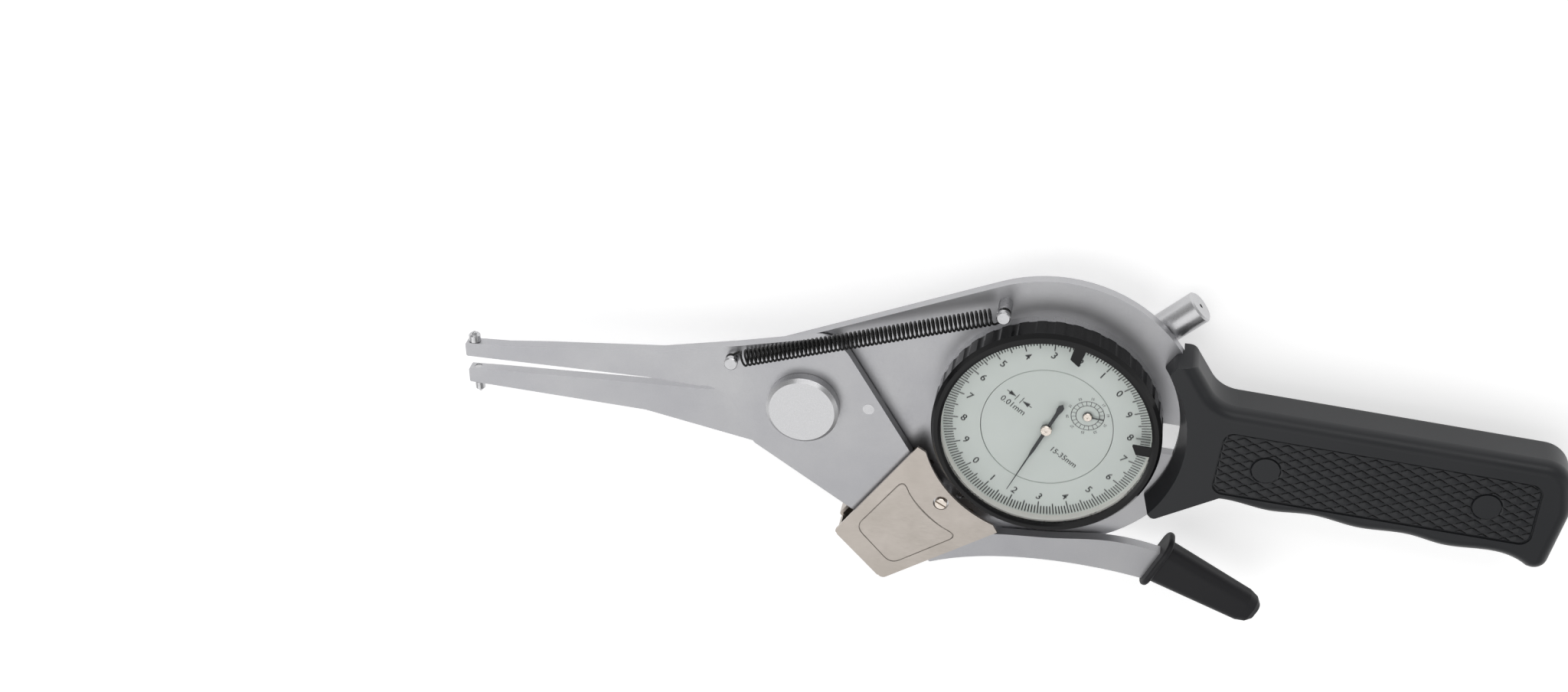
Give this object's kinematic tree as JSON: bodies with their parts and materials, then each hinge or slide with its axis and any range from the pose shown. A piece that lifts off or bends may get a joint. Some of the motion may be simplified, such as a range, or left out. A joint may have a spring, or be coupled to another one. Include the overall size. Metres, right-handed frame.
{
  "type": "internal dial caliper gauge",
  "caption": "Hand-held internal dial caliper gauge: long ball-tipped jaws on a pivoted arm, finger lever, dial indicator and moulded handle, for measuring bores.",
  "frame": {"origin": "centre of the indicator's back plate, on its outer face, under the dial axis", "axes": "+Z out of the dial; +X along the length towards the handle; -X towards the measuring tips; the finger lever lies on the -Y side"},
  "size_m": [0.2824, 0.095, 0.0228],
  "materials": {
    "plate_steel": "satin ground steel",
    "nickel": "bright nickel plate",
    "black_metal": "black finish, semi-gloss",
    "steel_dark": "plain steel",
    "contact_steel": "polished hardened steel",
    "grip_plastic": "black-grey moulded plastic",
    "sleeve_rubber": "black rubber",
    "dial_paint": "pale grey-white dial enamel",
    "cream_plastic": "cream plastic",
    "clear_glass": "clear crystal",
    "body_metal": "satin aluminium",
    "gear_brass": "plain brass",
    "bronze": "bearing bronze",
    "spring_steel": "blackened spring wire",
    "blue_spring": "blued spring steel"
  },
  "bodies": {
    "frame_group": {"frame": "plate_steel", "pivot_shaft": "steel_dark", "thrust_washer": "steel_dark", "pivot_cap": "body_metal", "pivot_nut": "steel_dark", "frame_spring_post": "steel_dark", "tension_spring": "spring_steel", "front_cover": "nickel", "rear_cover": "nickel", "cover_pillar": "steel_dark", "cover_screw": "nickel", "rear_cover_screw_1": "nickel", "rear_cover_screw_2": "nickel", "handle_front": "grip_plastic", "handle_rear": "grip_plastic", "handle_screw_1": "steel_dark", "handle_screw_2": "steel_dark", "plug_1": "grip_plastic", "plug_2": "grip_plastic", "indicator_body": "body_metal", "back_plate": "body_metal", "back_screw_1": "steel_dark", "back_screw_2": "steel_dark", "back_screw_3": "steel_dark", "back_screw_4": "steel_dark", "stem": "steel_dark", "stem_clamp": "body_metal", "clamp_screw_1": "steel_dark", "clamp_screw_2": "steel_dark", "upper_bush": "steel_dark", "spindle_cap": "body_metal", "movement_bridge": "gear_brass", "return_spring": "spring_steel", "hairspring": "blue_spring", "inner_dial": "dial_paint", "fixed_contact": "contact_steel"},
    "arm_group": {"movable_arm": "plate_steel", "finger_lever": "plate_steel", "lever_screw_1": "nickel", "lever_screw_2": "nickel", "lever_sleeve": "sleeve_rubber", "moving_contact": "contact_steel", "pivot_bush": "bronze", "stop_pin": "steel_dark", "arm_spring_post": "steel_dark", "tail_pad": "contact_steel"},
    "spindle_group": {"spindle": "contact_steel", "contact_point": "contact_steel", "guide_pin": "steel_dark"},
    "drive_group": {"drive_wheel": "gear_brass"},
    "centre_group": {"centre_pinion": "gear_brass", "main_hand": "black_metal"},
    "counter_group": {"counter_wheel": "gear_brass", "small_hand": "black_metal"},
    "bezel_group": {"bezel": "black_metal", "scale_ring": "dial_paint", "spacer_ring": "cream_plastic", "glass": "clear_glass"},
    "marker_group_1": {"limit_marker_1": "black_metal"},
    "marker_group_2": {"limit_marker_2": "black_metal"}
  },
  "joints": [
    {"name": "arm_pivot", "type": "hinge", "parent": "frame_group", "child": "arm_group", "pos_m": [-0.0625, 0, 0.0145], "axis": [0, 0, -1], "range_deg": [-3.48, 10], "stiffness_Nm_per_rad": 0.15, "deforming": ["tension_spring"]},
    {"name": "spindle_slide", "type": "slide", "parent": "frame_group", "child": "spindle_group", "axis": [-0.766, -0.6428, 0], "range_m": [-0.00245, 0.00705], "deforming": ["return_spring"]},
    {"name": "drive_wheel_turn", "type": "hinge", "parent": "frame_group", "child": "drive_group", "pos_m": [-0.01013, -0.0043, 0.0109], "axis": [0, 0, 1], "range_deg": [-279, 98]},
    {"name": "main_hand_turn", "type": "hinge", "parent": "frame_group", "child": "centre_group", "pos_m": [0, 0, 0.0109], "axis": [0, 0, 1], "range_deg": [-970, 2780]},
    {"name": "small_hand_turn", "type": "hinge", "parent": "frame_group", "child": "counter_group", "pos_m": [0.01013, 0.0043, 0.0109], "axis": [0, 0, 1], "range_deg": [-279, 98], "deforming": ["hairspring"]},
    {"name": "bezel_turn", "type": "hinge", "parent": "frame_group", "child": "bezel_group", "pos_m": [0, 0, 0.019], "axis": [0, 0, 1], "continuous": true},
    {"name": "marker_1_turn", "type": "hinge", "parent": "bezel_group", "child": "marker_group_1", "pos_m": [0, 0, 0.022], "axis": [0, 0, 1], "range_deg": [-30, 120]},
    {"name": "marker_2_turn", "type": "hinge", "parent": "bezel_group", "child": "marker_group_2", "pos_m": [0, 0, 0.022], "axis": [0, 0, 1], "range_deg": [-120, 30]}
  ],
  "couplings": [
    {"joint": "spindle_slide", "follows": "arm_pivot", "m_per_rad": 0.040174},
    {"joint": "drive_wheel_turn", "follows": "arm_pivot", "ratio": -27.772},
    {"joint": "main_hand_turn", "follows": "arm_pivot", "ratio": 277.72},
    {"joint": "small_hand_turn", "follows": "arm_pivot", "ratio": -27.772}
  ]
}
